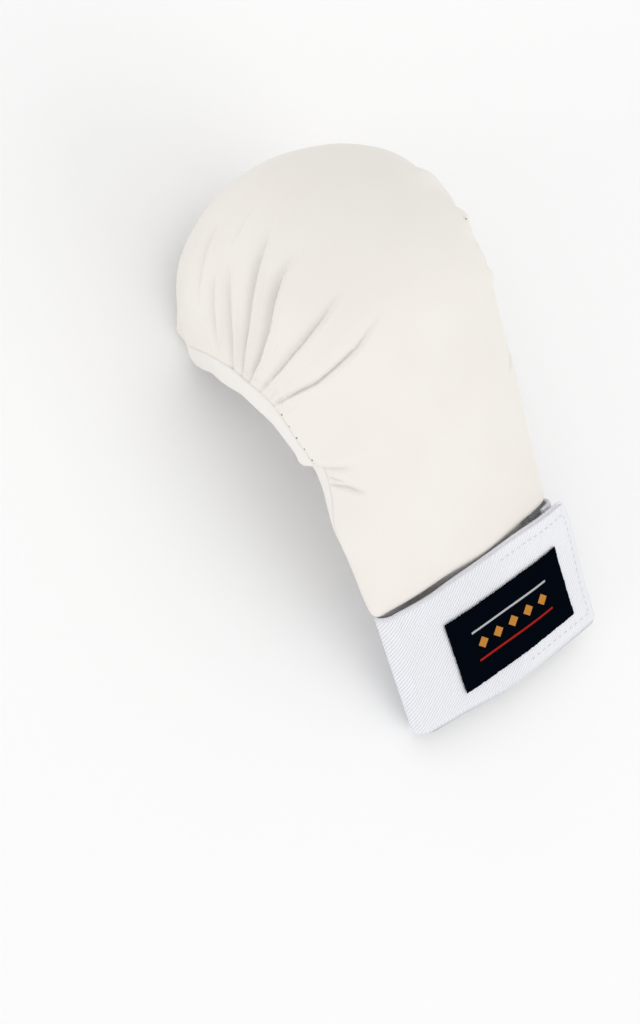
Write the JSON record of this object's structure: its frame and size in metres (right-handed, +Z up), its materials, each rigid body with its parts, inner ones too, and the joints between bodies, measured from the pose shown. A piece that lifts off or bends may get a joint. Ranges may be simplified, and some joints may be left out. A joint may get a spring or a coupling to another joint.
{
  "type": "karate mitt",
  "caption": "Padded martial arts mitt that curls from the back of the hand down in front of the fist, with finger loops, a palm strap and a wide elastic wrist band",
  "frame": {"origin": "on the surface that the mitt lies on, palm side down, under the middle of its bounding box", "axes": "X runs across the knuckles, +X towards the side where the wrist band's tab ends; +Y from the wrist to the fist; +Z up, out of the back of the hand and tilted 25 degrees towards the wrist"},
  "size_m": [0.1054, 0.2214, 0.1059],
  "materials": {
    "cover": "soft warm white synthetic leather with a fine grain",
    "lining": "smooth warm white lining leather",
    "elastic": "matte bluish white twill elastic",
    "grip": "matte white hook tape",
    "label": "dark navy woven patch"
  },
  "bodies": {
    "root": {"pad": "cover", "lining": "lining", "finger_band": "elastic", "palm_strap": "elastic", "wing_left": "cover", "wing_right": "cover", "wrist_band": "elastic", "grip_patch": "grip", "label": "label"}
  },
  "joints": []
}
